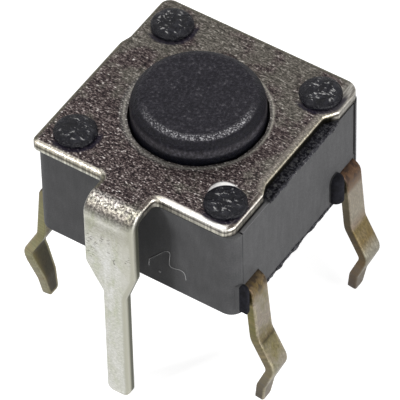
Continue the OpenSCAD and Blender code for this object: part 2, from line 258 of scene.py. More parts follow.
def rolled_section(thickness, low_roll, top_roll):
    """Section of a sheet's edge from the underside up, as (distance inwards, height)"""
    angles = [math.pi / 2 * k / 4 for k in range(5)]
    low = [(low_roll * (1 - math.sin(a)), low_roll * (1 - math.cos(a))) for a in angles]
    top = [(top_roll * (1 - math.cos(a)), thickness - top_roll * (1 - math.sin(a))) for a in angles]
    return low + top


def divisions(outline, spacing):
    """Number of parts into which each side of an outline is cut"""
    count = len(outline)
    lengths = [(outline[(i + 1) % count] - outline[i]).length for i in range(count)]
    return [max(1, math.ceil(length / spacing)) for length in lengths]


def divided(outline, parts):
    points = []
    for i, a in enumerate(outline):
        b = outline[(i + 1) % len(outline)]
        points += [a.lerp(b, k / parts[i]) for k in range(parts[i])]
    return points


def lattice(outline, loops, spacing):
    """Points all over a sheet, clear of its edges"""
    edge = [p for loop in loops for p in loop]
    tree = KDTree(len(edge))
    for i, p in enumerate(edge):
        tree.insert((p.x, p.y, 0), i)
    tree.balance()
    low_x = min(p.x for p in outline)
    low_y = min(p.y for p in outline)
    columns = int((max(p.x for p in outline) - low_x) / spacing)
    rows = int((max(p.y for p in outline) - low_y) / spacing)
    points = []
    for row in range(1, rows + 1):
        for column in range(1, columns + 1):
            shift = 0.25 if row % 2 else -0.25
            p = Vector((low_x + (column + shift) * spacing, low_y + row * spacing))
            reach = tree.find((p.x, p.y, 0))[2]
            if reach > 0.6 * spacing and inside(p, outline):
                points.append((p, reach))
    return points


def skin(loops, inner, holes):
    """Triangles between the loops, as numbers of the loops' points and then the inner points"""
    points = [p for loop in loops for p in loop] + inner
    edges = []
    first = 0
    for loop in loops:
        edges += [(first + i, first + (i + 1) % len(loop)) for i in range(len(loop))]
        first += len(loop)
    verts, _, faces, origin, _, _ = delaunay_2d_cdt(points, edges, [], 1, 1e-7)
    kept = []
    for face in faces:
        centre = sum((verts[i] for i in face), Vector((0, 0))) / len(face)
        if all((centre - Vector((x, y))).length > radius for x, y, radius in holes):
            kept.append([origin[i][0] for i in face])
    return kept


def stamped_sheet(name, corners, holes, thickness, rolls, spacing, place):
    """Sheet with a rolled edge all round, cut flat and then bent by the function place.
    It keeps its flat shape as a UV map in millimetres. The attribute across is the distance over
    its surface from the foot of the cut edge, and outward is the way that an outer edge faces."""
    section = rolled_section(thickness, *rolls)
    across = [0.0]
    for a, b in zip(section, section[1:]):
        across.append(across[-1] + math.dist(a, b))
    base = rounded(corners)
    parts = divisions(base, spacing)
    rings = []
    for depth, height in section:
        loops = [divided(rounded(inset(corners, depth)), parts)]
        for x, y, radius in holes:
            loops.append(circle(x, y, radius + depth, max(24, int(math.tau * radius / spacing))))
        rings.append(loops)

    flat, heights, reach, outward = [], [], [], []
    for k, loops in enumerate(rings):
        for number, loop in enumerate(loops):
            for i, p in enumerate(loop):
                along = (loop[(i + 1) % len(loop)] - loop[i - 1]).normalized()
                flat.append(p)
                heights.append(section[k][1])
                reach.append(across[k])
                outward += (along.y, -along.x, 0) if number == 0 else (0, 0, 0)

    total = sum(len(loop) for loop in rings[0])
    faces = []
    first = 0
    for loop in rings[0]:
        for k in range(len(rings) - 1):
            for i in range(len(loop)):
                a = k * total + first + i
                b = k * total + first + (i + 1) % len(loop)
                faces.append([a, b, b + total, a + total])
        first += len(loop)

    for ring, height, direction, level in ((0, 0.0, -1, 0.0), (len(rings) - 1, thickness, 1, across[-1])):
        loops = rings[ring]
        inner = []
        for p, distance in lattice(loops[0], loops, spacing):
            if all((p - Vector((x, y))).length > radius for x, y, radius in holes):
                inner.append(p)
                heights.append(height)
                reach.append(level + direction * distance)
                outward += (0, 0, 0)
        start = len(flat) - total
        for face in skin(loops, inner, holes):
            numbers = [ring * total + i if i < total else start + i for i in face]
            faces.append(numbers if direction > 0 else numbers[::-1])
        flat += inner

    mesh = bpy.data.meshes.new(name)
    verts = [Vector(place(p.x, p.y, h)) * MM for p, h in zip(flat, heights)]
    mesh.from_pydata(verts, [], faces)
    mesh.attributes.new("across", "FLOAT", "POINT").data.foreach_set("value", reach)
    mesh.attributes.new("outward", "FLOAT_VECTOR", "POINT").data.foreach_set("vector", outward)
    uv = mesh.uv_layers.new(name="flat shape")
    for loop in mesh.loops:
        uv.data[loop.index].uv = flat[loop.vertex_index]
    return finished(name, mesh)


def placed(name, data):
    """Object at the origin, in the scene"""
    piece = bpy.data.objects.new(name, data)
    bpy.context.scene.collection.objects.link(piece)
    return piece


def plain_mesh(source):
    """Mesh of an object as its modifier or its curve makes it. The object itself is removed."""
    graph = bpy.context.evaluated_depsgraph_get()
    mesh = bpy.data.meshes.new_from_object(source.evaluated_get(graph), depsgraph=graph)
    bpy.data.objects.remove(source)
    return mesh


@contextmanager
def edited(mesh):
    """A mesh open for changes, which are written back at the end"""
    work = bmesh.new()
    work.from_mesh(mesh)
    yield work
    work.to_mesh(mesh)
    work.free()


def finished(name, mesh):
    """Object from a mesh, with its faces turned outwards, and smooth except at sharp edges"""
    with edited(mesh) as work:
        bmesh.ops.recalc_face_normals(work, faces=work.faces)
    mesh.shade_smooth()
    mesh.set_sharp_from_angle(angle=math.radians(SHARP_FROM))
    return placed(name, mesh)


def turned(name, profile, count=128):
    """Turned piece from (radius, height) points in millimetres, from the axis round to the axis"""
    verts, faces, rows = [], [], []
    for radius, height in profile:
        number = count if radius > 0 else 1
        rows.append([len(verts) + i % number for i in range(count)])
        verts += [(*(heading(math.tau * i / count) * radius * MM), height * MM) for i in range(number)]
    for low, high in zip(rows, rows[1:]):
        for i in range(count):
            j = (i + 1) % count
            faces.append(list(dict.fromkeys([low[i], low[j], high[j], high[i]])))
    mesh = bpy.data.meshes.new(name)
    mesh.from_pydata(verts, [], faces)
    return finished(name, mesh)


def arc(centre_r, centre_z, radius, first, last, count=8):
    """Points of a round edge in a turned piece's profile"""
    points = []
    for k in range(count + 1):
        a = math.radians(first + (last - first) * k / count)
        points.append((centre_r + radius * math.cos(a), centre_z + radius * math.sin(a)))
    return points


# Nodes

def operator(name):
    def node(value, other=0):
        return value.nodes.math(name, value, other)
    return node


class Value:
    """What a node gives, so that a sum of two such values is written as a sum"""

    def __init__(self, nodes, socket):
        self.nodes = nodes
        self.socket = socket

    __add__ = operator("ADD")
    __sub__ = operator("SUBTRACT")
    __mul__ = operator("MULTIPLY")
    __truediv__ = operator("DIVIDE")
    __abs__ = operator("ABSOLUTE")


class Nodes:
    """A node tree, and short calls for its nodes"""

    def __init__(self, tree):
        self.tree = tree

    def put(self, socket, value):
        if isinstance(value, Value):
            self.tree.links.new(value.socket, socket)
        else:
            socket.default_value = value

    def add(self, kind, inputs=None, **settings):
        node = self.tree.nodes.new(kind)
        for key, value in settings.items():
            setattr(node, key, value)
        for socket, value in (inputs or {}).items():
            self.put(node.inputs[socket], value)
        return node

    def get(self, kind, inputs=None, output=0, **settings):
        """What a new node gives at one of its outputs"""
        return Value(self, self.add(kind, inputs, **settings).outputs[output])

    def math(self, operation, first, second=0):
        return self.get("ShaderNodeMath", {0: first, 1: second}, operation=operation)

    def most(self, first, *others):
        for other in others:
            first = self.math("MAXIMUM", first, other)
        return first

    def sign(self, value):
        return self.math("SIGN", value)

    def axes(self, vector):
        outputs = self.add("ShaderNodeSeparateXYZ", {0: vector}).outputs
        return [Value(self, outputs[number]) for number in range(3)]

    def seen(self):
        """1 for the camera's rays, also after a mirror or glass, and 0 for the light's"""
        rays = self.add("ShaderNodeLightPath").outputs
        return self.most(*[Value(self, rays[f"Is {kind} Ray"]) for kind in ("Camera", "Glossy", "Transmission")])


# Finishes. A colour table has a row for each value: the value, then red, green and blue as seen on screen.

class Finish(Nodes):
    """A material, with its surface ready to be set"""

    def __init__(self, name):
        self.material = bpy.data.materials.new(name)
        self.material.use_nodes = True
        super().__init__(self.material.node_tree)

    def set(self, **values):
        """Sets the surface's own sockets, and gives the material"""
        for name, value in values.items():
            self.put(self.tree.nodes["Principled BSDF"].inputs[name.replace("_", " ")], value)
        return self.material

    def place(self, scale=(1, 1, 1)):
        """Object coordinates in millimetres, stretched by a scale"""
        source = self.get("ShaderNodeTexCoord", output="Object")
        return self.get("ShaderNodeMapping", {"Vector": source, "Scale": [s / MM for s in scale]})

    def flat_place(self, scale_x=1, scale_y=1):
        """Place on the flat blank in millimetres, stretched along and across"""
        source = self.get("ShaderNodeUVMap", uv_map="flat shape")
        return self.get("ShaderNodeMapping", {"Vector": source, "Scale": (scale_x, scale_y, 1)})

    def attribute(self, name, output="Fac"):
        return self.get("ShaderNodeAttribute", output=output, attribute_name=name)

    def length(self, x, y):
        pair = self.get("ShaderNodeCombineXYZ", {0: x, 1: y})
        return self.get("ShaderNodeVectorMath", {0: pair}, "Value", operation="LENGTH")

    def noise(self, vector, scale=1, detail=2, roughness=0.5, distortion=0):
        inputs = {"Vector": vector, "Scale": scale, "Detail": detail,
                  "Roughness": roughness, "Distortion": distortion}
        return self.get("ShaderNodeTexNoise", inputs)

    def flat_noise(self, scale_x, scale_y, detail, roughness, distortion=0):
        return self.noise(self.flat_place(scale_x, scale_y), 1, detail, roughness, distortion)

    def fade(self, value, low, high, start=0, end=1):
        """Smooth change from start to end while the value goes from low to high"""
        inputs = {"Value": value, "From Min": low, "From Max": high, "To Min": start, "To Max": end}
        return self.get("ShaderNodeMapRange", inputs, interpolation_type="SMOOTHSTEP")

    def between(self, value, low, low_full, high_full, high):
        """1 inside a range, faded at both of its ends"""
        return self.fade(value, low, low_full) * self.fade(value, high, high_full)

    def bands(self, value, stops):
        """Colours of a table, blended between its rows"""
        low = stops[0][0]
        high = stops[-1][0]
        share = self.get("ShaderNodeMapRange", {"Value": value, "From Min": low, "From Max": high})
        node = self.add("ShaderNodeValToRGB", {"Fac": share})
        elements = node.color_ramp.elements
        while len(elements) < len(stops):
            elements.new(0.5)
        for element, (at, *colour) in zip(elements, stops):
            element.position = (at - low) / (high - low)
        for element, (at, *colour) in zip(elements, stops):
            element.color = rgb(*colour)
        return Value(self, node.outputs["Color"])

    def mix(self, factor, a, b, blend="MIX"):
        return self.get("ShaderNodeMix", {0: factor, 6: a, 7: b}, 2, data_type="RGBA", blend_type=blend)

    def overlay(self, factor, a, b):
        return self.mix(factor, a, b, "OVERLAY")

    def bump(self, height, depth, strength=1, over=None):
        """Bump of a depth in millimetres, on top of another bump"""
        inputs = {"Height": height, "Distance": depth * MM, "Strength": strength}
        if over is not None:
            inputs["Normal"] = over
        return self.get("ShaderNodeBump", inputs)


COVER_BROWN = [
    (0.38, 18, 13, 17), (0.45, 40, 32, 34), (0.51, 73, 62, 61), (0.57, 108, 98, 95), (0.62, 162, 154, 150),
    (0.68, 248, 244, 240),
]
COVER_GREY = [
    (0.38, 50, 48, 44), (0.45, 74, 71, 64), (0.51, 96, 92, 85), (0.57, 118, 114, 106), (0.62, 150, 146, 137),
    (0.7, 225, 222, 214),
]
COVER_CONTRAST = [(0.34, 96, 94, 94), (0.5, 172, 172, 172), (0.62, 236, 236, 238)]
# Rolled edge colours by distance up from the cut edge's foot: painted highlights on the roll and painted shade lines
# under it
FRONT_RIM = [
    (0.0, 150, 149, 142), (0.04, 184, 184, 176), (0.09, 168, 166, 156), (0.13, 84, 80, 70), (0.17, 92, 88, 77),
    (0.21, 152, 147, 135), (0.26, 200, 196, 186), (0.35, 190, 186, 176), (0.43, 164, 160, 152), (0.5, 96, 90, 86),
]
FRONT_RIGHT_RIM = [
    (0.0, 96, 94, 86), (0.04, 178, 176, 166), (0.12, 184, 181, 172), (0.165, 78, 74, 68), (0.21, 150, 147, 142),
    (0.26, 226, 224, 221), (0.38, 226, 223, 220), (0.46, 150, 146, 142), (0.54, 80, 74, 74),
]
RIGHT_RIM = [
    (0.0, 40, 36, 32), (0.05, 150, 146, 138), (0.1, 188, 184, 176), (0.15, 176, 172, 164), (0.18, 72, 68, 62),
    (0.22, 104, 100, 94), (0.26, 236, 232, 226), (0.3, 128, 122, 116), (0.34, 92, 84, 80),
]
SHADED_RIM = [(0.0, 60, 59, 50), (0.16, 104, 101, 88), (0.27, 128, 125, 110), (0.36, 98, 94, 84)]
NOTCH_RIM = [
    (0.0, 30, 29, 26), (0.17, 50, 48, 38), (0.21, 104, 100, 86), (0.25, 208, 202, 186), (0.29, 130, 125, 114),
    (0.36, 140, 134, 128), (0.44, 118, 111, 106), (0.52, 84, 76, 72),
]
RIM_GRIT = [(0.34, 40, 38, 36), (0.5, 138, 136, 130), (0.66, 240, 238, 232)]
HOLE_RING = [(0.36, 50, 48, 48), (0.48, 84, 82, 80), (0.56, 112, 110, 106), (0.66, 190, 188, 182)]
BRUSHED_CORNER = [(0.36, 104, 101, 94), (0.5, 140, 137, 130), (0.64, 186, 183, 176)]
TAB_LENGTH_WITH_PAINTED_LIGHT = [
    (-0.08, 88, 82, 78), (0.02, 142, 138, 136), (0.09, 192, 188, 183), (0.16, 166, 163, 156), (0.23, 108, 104, 98),
    (0.34, 92, 88, 84), (0.42, 136, 135, 128), (0.5, 174, 173, 165), (0.57, 190, 189, 182), (0.66, 174, 173, 165),
    (0.8, 164, 163, 155), (1.0, 176, 175, 167), (1.2, 186, 185, 179), (1.6, 190, 190, 185),
]
BEND_SPECKLE = [(0.36, 58, 54, 56), (0.46, 140, 138, 138), (0.53, 192, 190, 189), (0.64, 250, 250, 248)]
TAB_CLOUDS = [(0.32, 160, 164, 146), (0.5, 182, 182, 179), (0.68, 199, 199, 202)]
TAB_PORES = [(0.34, 166, 166, 163), (0.5, 184, 184, 183), (0.66, 201, 201, 203)]
TAB_YELLOW = [
    (0.4, 140, 138, 122), (1.0, 164, 163, 150), (2.2, 172, 170, 158), (3.5, 174, 174, 164), (7.0, 170, 170, 162),
]
TAB_RIM_LIGHT_AND_SHADE = [(0.0, 112, 111, 104), (0.1, 84, 83, 77), (0.16, 96, 94, 88), (0.21, 150, 148, 140), (0.3, 196, 195, 188)]
TAB_RIGHT_CUT_SHADE = [
    (0.0, 104, 105, 92), (0.09, 76, 77, 66), (0.14, 92, 92, 80), (0.18, 146, 145, 132), (0.22, 166, 165, 153),
    (0.36, 158, 157, 144),
]


def plated_sheet_finish():
    """Tin plated steel: dull brown mottling on the cover, painted highlights and shade on its rolled edge and across
    the bend, and a smooth pale terminal
    """
    f = Finish("plated sheet")
    flat_x, flat_y, _ = f.axes(f.flat_place())
    past_bend = flat_y * -1 - (COVER_Y + TAB_RUN)
    across = f.attribute("across")
    right_side, back_side, _ = f.axes(f.attribute("outward", "Vector"))
    streaks = f.flat_noise(6, 15, 3, 0.7, 0.8)
    grit = f.flat_noise(15, 22, 2, 0.65)
    clouds = f.flat_noise(1.1, 1.1, 3, 0.6)
    grain = streaks * 0.6 + grit * 0.4

    # The cover's top, with painted shade on one side of each post and a painted glint behind the front right one
    patches = f.fade(clouds + flat_y * 0.035, 0.46, 0.62, 0, 0.85)
    mottled = f.mix(patches, f.bands(grain, COVER_BROWN), f.bands(grain, COVER_GREY))
    mottled = f.overlay(f.fade(flat_y, 0, -1.6, 0.15, 0.75), mottled, f.bands(grit, COVER_CONTRAST))
    post_x = abs(flat_x) - POST_X
    post_y = abs(flat_y) - POST_Y
    from_post = f.length(post_x, post_y)
    behind = post_y * f.sign(flat_y) * 0.74 + post_x * f.sign(flat_x) * -0.67
    post_shade = f.fade(from_post, 0.74, 0.66) * f.fade(behind, -0.05, -0.3) * f.fade(across, 0.26, 0.34)
    glint = f.fade(from_post - behind * 0.5, 0.385, 0.355) * f.fade(behind, 0.4, 0.52)
    glint = glint * (f.fade(flat_x, 1.4, 1.9) * f.fade(flat_y, -1, -1.5))

    # Its rolled edge, with painted highlights and painted shade that differ on each side: brightest on the front, a
    # thin painted highlight line on the right, painted shade on the back and left
    right_hand = f.fade(flat_x, 0.6, 1) * f.fade(flat_y, -2.3, -2.45)
    shaded_rim = f.bands(across, SHADED_RIM)
    rim = f.mix(right_hand, f.bands(across, FRONT_RIM), f.bands(across, FRONT_RIGHT_RIM))
    rim = f.mix(f.fade(right_side, 0.45, 0.8), rim, f.bands(across, RIGHT_RIM))
    rim = f.mix(f.fade(back_side - right_side, 0.2, 0.7), rim, shaded_rim)
    rim = f.mix(f.fade(right_side, -0.4, -0.8), rim, shaded_rim)
    # Painted shade on the notch's cut wall, under a painted highlight line
    in_notch = f.between(flat_x, 2.5, 2.56, 2.86, 2.93) * f.between(flat_y, -1.46, -1.4, 1.88, 1.95)
    rim = f.mix(in_notch * f.fade(across, 0.56, 0.5), rim, f.bands(across, NOTCH_RIM))
    rim = f.overlay(0.6, rim, f.bands(grit, RIM_GRIT))
    rim_end = right_hand * f.fade(right_side, 0.8, 0.4) * 0.02 + 0.39
    rim_end = rim_end + f.most(f.fade(back_side, -0.4, -0.8), in_notch) * 0.08
    ragged = (grit - 0.5) * 0.22
    rim_part = f.fade(across + ragged - rim_end, -0.03, 0.03, 1, 0) * f.fade(from_post, 0.56, 0.62)
    cover = f.mix(rim_part, mottled, rim)
    from_centre = f.length(flat_x + 0.05, flat_y + 0.03)
    hole_part = f.fade(from_centre + ragged * 0.5, 2.02, 1.93)
    cover = f.mix(hole_part * 0.55, cover, f.bands(grit, HOLE_RING))
    back_corner = f.fade(flat_x, 2.55, 2.8) * f.fade(flat_y, 1.85, 2.1)
    cover = f.mix(back_corner * 0.7, cover, f.bands(f.flat_noise(16, 2, 2, 0.6), BRUSHED_CORNER))
    # Painted shade beside each post, then the painted glint
    cover = f.mix(post_shade * 0.85, cover, rgb(20, 16, 34))
    cover = f.mix(glint * 0.95, cover, rgb(244, 242, 240))

    # The tab, from the bend down to the pin's tip, with a painted highlight band, painted shade and a second painted
    # highlight line across the bend, under grainy specks
    tab = f.bands(past_bend, TAB_LENGTH_WITH_PAINTED_LIGHT)
    tab = f.overlay(f.fade(past_bend, 0.15, 0.55, 0.95, 0.12), tab, f.bands(grit, BEND_SPECKLE))
    tab = f.overlay(0.75, tab, f.bands(f.flat_noise(2.2, 1, 4, 0.65, 0.6), TAB_CLOUDS))
    tab = f.overlay(0.55, tab, f.bands(f.flat_noise(11, 16, 3, 0.7), TAB_PORES))
    yellow = f.fade(flat_x, 0.05, 0.45, 0, 0.6) * f.fade(past_bend, 0.3, 0.6)
    tab = f.mix(yellow, tab, f.bands(past_bend, TAB_YELLOW))
    scratches = f.fade(f.flat_noise(9, 22, 1, 0.5), 0.57, 0.63) * f.between(past_bend, 0.95, 1.25, 1.9, 2.2)
    scratches = scratches * f.fade(f.flat_noise(2.2, 1.76, 1, 0.5), 0.46, 0.54)
    tab = f.mix(scratches * 0.7, tab, rgb(84, 82, 74))
    # The tab's cut edges: painted shade on the walls and a painted highlight on the roll, with deeper painted shade
    # on the right edge
    tab = f.mix(f.fade(across, 0.21, 0.34, 1, 0), tab, f.bands(across, TAB_RIM_LIGHT_AND_SHADE))
    right_cut_shade = f.fade(right_side, 0.4, 0.8) * f.fade(across, 0.42, 0.3) * f.fade(past_bend, 0.25, 0.5)
    tab = f.mix(right_cut_shade, tab, f.bands(across, TAB_RIGHT_CUT_SHADE))

    smooth_part = f.fade(past_bend, 0.3, 0.55)
    return f.set(Base_Color=f.mix(f.fade(past_bend, -0.12, 0.02), cover, tab), Metallic=0.85,
                 Roughness=f.most(f.fade(smooth_part, 0, 1, 0.34, 0.52), f.fade(past_bend, -0.1, 0.02) * 0.44),
                 Normal=f.bump(grain, 0.016, f.fade(smooth_part, 0, 1, 0.9, 0.12)))


TERMINAL_FACE = [
    (2.95, 46, 36, 24), (3.1, 84, 66, 36), (3.25, 112, 92, 56), (3.42, 128, 112, 80), (3.6, 146, 138, 122),
    (4.5, 142, 134, 118), (4.85, 126, 112, 88), (5.04, 96, 84, 60), (5.1, 68, 60, 38), (5.17, 104, 96, 66),
    (5.45, 116, 108, 74), (5.65, 124, 116, 86), (5.9, 146, 142, 124), (6.15, 136, 130, 112), (6.6, 108, 98, 78),
    (7.6, 80, 70, 52),
]
TERMINAL_EDGE = [
    (2.95, 70, 50, 26), (3.3, 98, 84, 46), (3.7, 116, 108, 62), (4.6, 112, 106, 62), (5.2, 122, 112, 84),
    (6.1, 118, 108, 82), (6.9, 96, 86, 66), (7.6, 74, 64, 48),
]
TERMINAL_STAINS = [
    (0.34, 100, 86, 46), (0.43, 124, 116, 78), (0.5, 148, 140, 124), (0.58, 158, 144, 136), (0.68, 112, 96, 64),
]
BACK_RIGHT_FACE = [
    (3.3, 92, 66, 50), (3.46, 112, 86, 70), (3.62, 150, 140, 126), (4.5, 160, 152, 138), (4.85, 148, 132, 116),
    (5.05, 120, 104, 66), (5.5, 116, 96, 60), (5.85, 152, 148, 134), (6.2, 128, 120, 104), (6.6, 100, 86, 60),
    (7.4, 84, 70, 54),
]
LEFT_EDGE = [
    (3.0, 128, 123, 90), (4.2, 142, 138, 99), (4.9, 130, 126, 88), (5.6, 149, 146, 110), (6.6, 146, 141, 116),
]
BACK_RIGHT_EDGE = [
    (3.6, 102, 94, 74), (4.3, 86, 76, 58), (5.1, 66, 54, 38), (5.7, 92, 74, 44), (6.3, 108, 86, 56),
    (7.4, 80, 66, 54),
]
TERMINAL_GRAIN = [(0.3, 76, 72, 62), (0.5, 128, 128, 126), (0.7, 184, 184, 186)]
INNER_FACE_SHADE = [(-0.34, 112, 104, 62), (-0.15, 78, 68, 42), (0.05, 46, 38, 26), (0.3, 24, 19, 14)]
INNER_STAINS = [(0.36, 110, 94, 68), (0.5, 178, 172, 164), (0.64, 206, 198, 180)]


def terminal_finish():
    """Plated brass strip: tan grey faces, olive cut edges and brown roots"""
    f = Finish("terminal metal")
    along = abs(f.axes(f.flat_place())[0])
    across = f.attribute("across")
    fine = f.flat_noise(10, 18, 3, 0.65)
    clouds = f.flat_noise(2.1, 3.6, 3, 0.65, 0.4)
    place = f.place()
    x, y, _ = f.axes(place)
    stains = f.noise(place, 1.5, 3, 0.6, 0.5)
    left_hand = f.fade(x, -2.8, -3.1)
    back_right = f.fade(x, 2.8, 3) * f.fade(y, 0.2, 0.6)

    # The outer face, stained except in its crease
    olive = f.bands(along, TERMINAL_EDGE)
    face = f.mix(f.fade(clouds, 0.5, 0.68, 0, 0.6), f.bands(along, TERMINAL_FACE), olive)
    off_crease = f.fade(abs(along - CREASE_AT), 0.03, 0.16)
    face = f.mix(f.fade(along, 3.1, 3.5, 0.1, 0.38) * off_crease, face, f.bands(stains, TERMINAL_STAINS))
    face = f.mix(back_right * 0.75, face, f.bands(along, BACK_RIGHT_FACE))
    root = f.fade(along, 3.45, 3.2) * f.fade(f.noise(place, 6, 2, 0.6), 0.48, 0.6)
    face = f.mix(root * 0.6, face, rgb(44, 36, 34))

    # The cut edges, with a painted highlight line where the face begins
    olive = f.mix(left_hand, olive, f.bands(along, LEFT_EDGE))
    olive = f.mix(f.fade(stains, 0.52, 0.62, 0, 0.35), olive, rgb(150, 132, 96))
    olive = f.mix(back_right * 0.85, olive, f.bands(along, BACK_RIGHT_EDGE))
    colour = f.mix(f.fade(across, 0.21, 0.26, 1, 0), face, olive)
    line = f.between(across, 0.2, 0.25, 0.28, 0.36) * f.fade(along, 3.2, 3.6) * f.fade(clouds, 0.36, 0.56)
    line = line * f.fade(back_right, 0, 1, 1, 0.1)
    colour = f.mix(line * 0.45, colour, rgb(196, 186, 160))
    colour = f.overlay(0.6, colour, f.bands(fine, TERMINAL_GRAIN))

    # The inner face, with painted shade that darkens towards the back of each terminal
    row_end = y - f.sign(y) * ROW_Y
    inner = f.overlay(0.4, f.bands(row_end, INNER_FACE_SHADE), f.bands(stains, INNER_STAINS))
    # Deepest painted shade on the left terminals' inner faces, far out along them
    deep_shade = left_hand * (f.fade(along, 5.5, 6.9, 0.5, 1) * f.fade(row_end, -0.35, -0.02))
    inner = f.mix(deep_shade, inner, rgb(12, 9, 6))
    colour = f.mix(f.fade(across, -0.02, -0.08) * 0.85, colour, inner)
    return f.set(Base_Color=colour, Metallic=0.8, Roughness=f.fade(fine, 0.3, 0.7, 0.38, 0.58),
                 Normal=f.bump(fine, 0.01, 0.6))


MOULDING = [(0.35, 70, 70, 71), (0.5, 79, 79, 80), (0.65, 89, 89, 90)]
MOULDING_DRAWN = [(0.34, 168, 168, 170), (0.5, 188, 188, 188), (0.66, 206, 206, 206)]
DARK_RESIN_AND_SHADE = [(0.35, 8, 8, 13), (0.65, 28, 28, 35)]
LEDGE_PAINTED_SHADE = [(0.38, 8, 8, 13), (0.5, 34, 34, 40), (0.62, 82, 82, 86)]


def moulding_finish():
    """Matt black resin with a fine grain, dark and rough on the dams, the burr, the bare ledge and the grooves. The
    dark on the bare ledge and in the grooves is painted shade.
    """
    f = Finish("black moulding")
    place = f.place()
    x, y, z = f.axes(place)
    fine = f.noise(place, 26, 3, 0.65)
    broad = f.noise(place, 1.3, 3, 0.55)
    ragged = f.noise(place, 7, 3, 0.65)
    drawn = f.noise(f.place((7, 7, 1.2)), 1, 3, 0.6)
    cells = f.get("ShaderNodeTexVoronoi", {"Vector": place, "Scale": 5.5}, "Distance")
    specks = f.fade(cells, 0.1, 0.05) * f.fade(f.noise(place, 3.1, 1), 0.58, 0.64)
    colour = f.mix(specks * 0.5, f.bands(fine * 0.5 + broad * 0.5, MOULDING), rgb(52, 52, 54))
    colour = f.overlay(0.3, colour, f.bands(drawn, MOULDING_DRAWN))

    # Painted shadow line under the cover's front right land, and a pale painted highlight on the ledge beyond it
    front_ledge_light_and_shade = f.fade(z, HOUSING_H - 0.03, HOUSING_H - 0.01)
    front_ledge_light_and_shade = front_ledge_light_and_shade * (f.fade(x, 2.6, 2.7) * f.between(y, -2.7, -2.6, -1.5, -1.35))
    colour = f.mix(front_ledge_light_and_shade, colour, f.bands(x, [(FRONT_LAND_X + 0.02, 20, 20, 24),
                                                    (FRONT_LAND_X + 0.06, 112, 112, 114)]))

    dam = f.fade(abs(x), SIDE_X + 0.005, SIDE_X + 0.03)
    burr = f.fade(z + (ragged - 0.5) * 0.16, 0.09, 0.05) * f.fade(x, SIDE_X - 0.06, SIDE_X - 0.04)
    # Painted shade on the housing's top ledge that the cover's notch leaves bare
    ledge = f.fade(z + (ragged - 0.5) * 0.5, HOUSING_H - 0.07, HOUSING_H - 0.03)
    ledge = ledge * f.fade(x, 2.5, 2.6) * f.between(y, -1.45, -1.25, 1.8, 2)
    # Painted shade in the groove beside each front corner strip
    from_groove = abs(abs(y) - (HOUSING_D / 2 - CORNER_STRIP_W - 0.025))
    groove = f.fade(from_groove, 0.035, 0.02) * f.fade(abs(x), SIDE_X - 0.13, SIDE_X - 0.1)
    groove = groove * f.fade(z, FLOOR_T - 0.02, FLOOR_T + 0.02) * f.fade(y, 0.5, -0.5)
    dark = f.most(dam, burr, ledge, groove)
    # Dark resin on the dams and the burr, painted shade on the ledge and in the grooves
    colour = f.mix(dark * 0.9, colour, f.bands(ragged, DARK_RESIN_AND_SHADE))
    colour = f.mix(ledge * 0.8, colour, f.bands(f.noise(place, 12, 3, 0.65), LEDGE_PAINTED_SHADE))
    return f.set(Base_Color=colour, Roughness=f.most(f.fade(broad, 0.3, 0.7, 0.5, 0.64), dark * 0.9),
                 Specular_IOR_Level=0.05, Normal=f.bump(ragged, 0.03, dark * 0.8, f.bump(fine, 0.006, 0.45)))


BUTTON_GRAIN = [
    (0.36, 16, 15, 21), (0.46, 30, 28, 35), (0.54, 42, 40, 47), (0.62, 60, 58, 64), (0.72, 104, 102, 106),
]
BUTTON_CLOUDS = [(0.3, 28, 28, 34), (0.7, 56, 55, 60)]
BUTTON_SIDE_LIGHT_AND_SHADE = [
    (3.26, 10, 11, 18), (3.36, 24, 24, 32), (3.42, 68, 67, 72), (3.56, 76, 74, 79), (3.66, 26, 25, 32),
    (3.8, 24, 23, 30), (3.85, 44, 42, 49),
]
BUTTON_GRIT = [(0.36, 60, 60, 60), (0.5, 124, 124, 124), (0.66, 214, 214, 216)]
BUTTON_PAINTED_HIGHLIGHT = [(0.38, 32, 31, 38), (0.48, 78, 76, 80), (0.55, 118, 117, 120), (0.66, 214, 213, 216)]


def button_finish():
    """Black button plastic with a spark eroded grain, a painted highlight along the front of its top edge, and
    painted light and shade on its side
    """
    f = Finish("black button")
    place = f.place()
    x, y, height = f.axes(place)
    grains = f.noise(place, 13, 3, 0.7)
    out = f.length(x, y)
    front = f.fade((x * 0.56 + y * -0.83) / f.most(out, 0.1), 0.1, 0.85)
    colour = f.mix(0.2, f.bands(grains, BUTTON_GRAIN), f.bands(f.noise(place, 2.2, 2, 0.5), BUTTON_CLOUDS))
    # Painted light and shade on the side: a pale band at the front, darker round the other sides, and dark painted
    # shade down at the gap
    side = f.mix(f.fade(front, 0, 1, 0.7, 0), f.bands(height, BUTTON_SIDE_LIGHT_AND_SHADE), rgb(24, 23, 31))
    side = f.overlay(0.7, side, f.bands(grains, BUTTON_GRIT))
    colour = f.mix(f.fade(out, 1.5, 1.6), colour, side)
    # Painted highlight along the front of the top edge
    front_edge_highlight = f.between(out, 1.33, 1.44, 1.5, 1.58) * (front * f.fade(height, 3.75, 3.82))
    colour = f.mix(front_edge_highlight * 0.85, colour, f.bands(f.noise(place, 24, 2, 0.6), BUTTON_PAINTED_HIGHLIGHT))
    return f.set(Base_Color=colour, Roughness=f.fade(front_edge_highlight, 0, 1, 0.36, 0.24), Specular_IOR_Level=0.1,
                 Normal=f.bump(grains, 0.045, 1))


RIVET_LUMPS = [(0.3, 8, 8, 13), (0.5, 19, 19, 26), (0.62, 36, 36, 42), (0.74, 72, 72, 76)]


